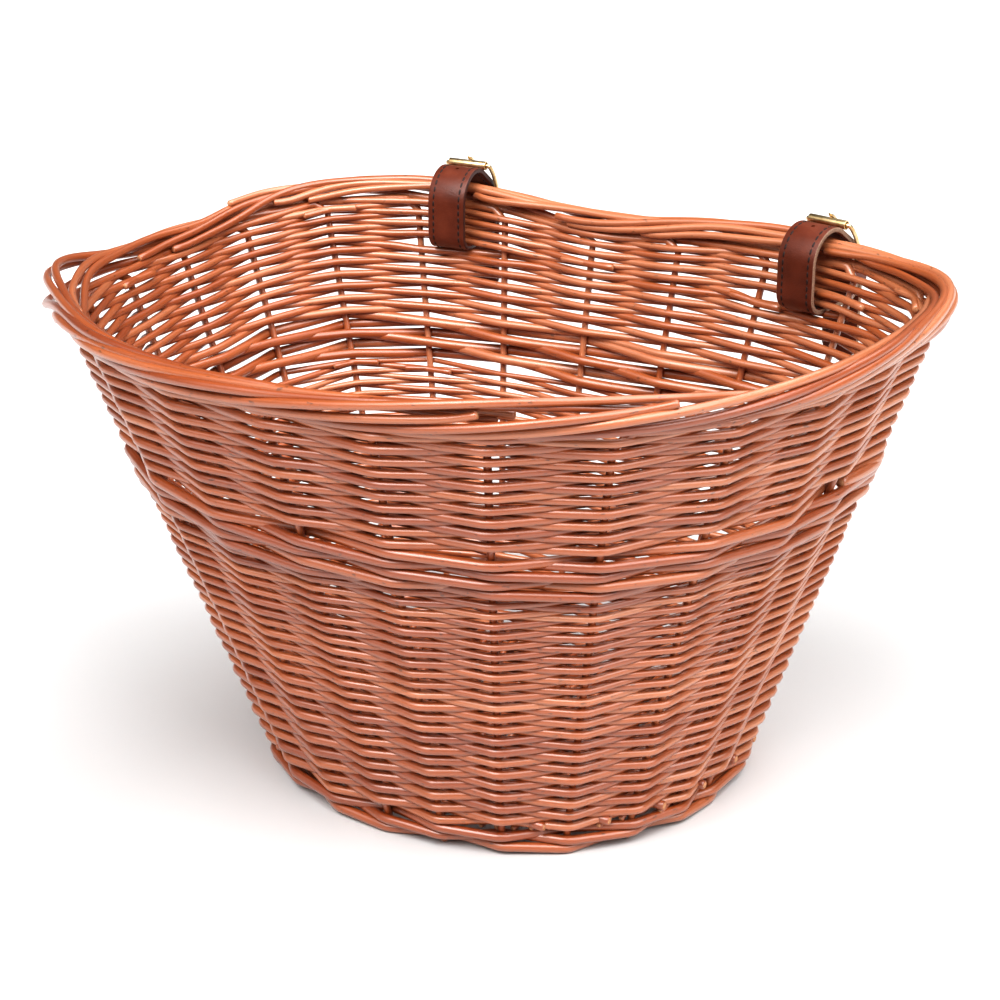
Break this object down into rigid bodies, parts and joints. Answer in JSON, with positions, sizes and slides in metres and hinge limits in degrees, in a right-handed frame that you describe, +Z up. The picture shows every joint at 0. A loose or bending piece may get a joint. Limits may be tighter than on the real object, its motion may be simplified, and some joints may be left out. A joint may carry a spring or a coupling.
{
  "type": "bicycle basket",
  "caption": "D-shaped woven willow bicycle basket with a rolled border and a flat back, hung from a handlebar by buckled leather straps.",
  "frame": {"origin": "on the ground under the middle of the overall box", "axes": "+X along the flat back to the right as seen from the round front, +Y out of the flat back where the straps are, +Z up"},
  "size_m": [0.3904, 0.3428, 0.2544],
  "materials": {
    "willow": "satin",
    "leather": "satin",
    "brass": "polished"
  },
  "bodies": {
    "basket": {"stake_01": "willow", "stake_02": "willow", "stake_03": "willow", "stake_04": "willow", "stake_05": "willow", "stake_06": "willow", "stake_07": "willow", "stake_08": "willow", "stake_09": "willow", "stake_10": "willow", "stake_11": "willow", "stake_12": "willow", "stake_13": "willow", "stake_14": "willow", "stake_15": "willow", "stake_16": "willow", "stake_17": "willow", "stake_18": "willow", "stake_19": "willow", "stake_20": "willow", "stake_21": "willow", "stake_22": "willow", "stake_23": "willow", "foot_wale_rod_1": "willow", "foot_wale_rod_2": "willow", "foot_wale_rod_3": "willow", "mid_wale_rod_1": "willow", "mid_wale_rod_2": "willow", "mid_wale_rod_3": "willow", "mid_wale_rod_4": "willow", "mid_wale_rod_5": "willow", "mid_wale_rod_6": "willow", "lower_siding_1": "willow", "lower_siding_2": "willow", "lower_siding_3": "willow", "lower_siding_4": "willow", "lower_siding_5": "willow", "lower_siding_6": "willow", "lower_siding_7": "willow", "upper_siding_1": "willow", "upper_siding_2": "willow", "top_siding": "willow", "base_stick_1": "willow", "base_stick_2": "willow", "base_stick_3": "willow", "base_stick_4": "willow", "base_stick_5": "willow", "base_stick_6": "willow", "base_stick_7": "willow", "base_weaver": "willow", "right_strap": "leather", "left_strap": "leather"},
    "right_buckle_frame": {"right_buckle_frame": "brass"},
    "right_buckle_roller": {"right_buckle_roller": "brass"},
    "right_buckle_prong": {"right_buckle_prong": "brass"},
    "right_strap_keeper": {"right_strap_keeper": "leather"},
    "left_buckle_frame": {"left_buckle_frame": "brass"},
    "left_buckle_roller": {"left_buckle_roller": "brass"},
    "left_buckle_prong": {"left_buckle_prong": "brass"},
    "left_strap_keeper": {"left_strap_keeper": "leather"}
  },
  "joints": [
    {"name": "right_frame_tilt", "type": "hinge", "parent": "basket", "child": "right_buckle_frame", "pos_m": [0.10274, 0.16128, 0.23087], "axis": [-0.9911, 0.1328, 0], "range_deg": [0, 6]},
    {"name": "right_roller_spin", "type": "hinge", "parent": "right_buckle_frame", "child": "right_buckle_roller", "pos_m": [0.10127, 0.15027, 0.24988], "axis": [-0.9911, 0.1328, 0], "continuous": true},
    {"name": "right_prong_lift", "type": "hinge", "parent": "right_buckle_frame", "child": "right_buckle_prong", "pos_m": [0.10274, 0.16128, 0.23087], "axis": [-0.9911, 0.1328, 0], "range_deg": [0, 10]},
    {"name": "right_keeper_slide", "type": "slide", "parent": "basket", "child": "right_strap_keeper", "axis": [0, 0, 1], "range_m": [0, 0.0025]},
    {"name": "left_frame_tilt", "type": "hinge", "parent": "basket", "child": "left_buckle_frame", "pos_m": [-0.10296, 0.16128, 0.23087], "axis": [-0.9911, -0.1328, 0], "range_deg": [0, 6]},
    {"name": "left_roller_spin", "type": "hinge", "parent": "left_buckle_frame", "child": "left_buckle_roller", "pos_m": [-0.10149, 0.15027, 0.24988], "axis": [-0.9911, -0.1328, 0], "continuous": true},
    {"name": "left_prong_lift", "type": "hinge", "parent": "left_buckle_frame", "child": "left_buckle_prong", "pos_m": [-0.10296, 0.16128, 0.23087], "axis": [-0.9911, -0.1328, 0], "range_deg": [0, 10]},
    {"name": "left_keeper_slide", "type": "slide", "parent": "basket", "child": "left_strap_keeper", "axis": [0, 0, 1], "range_m": [0, 0.0025]}
  ]
}
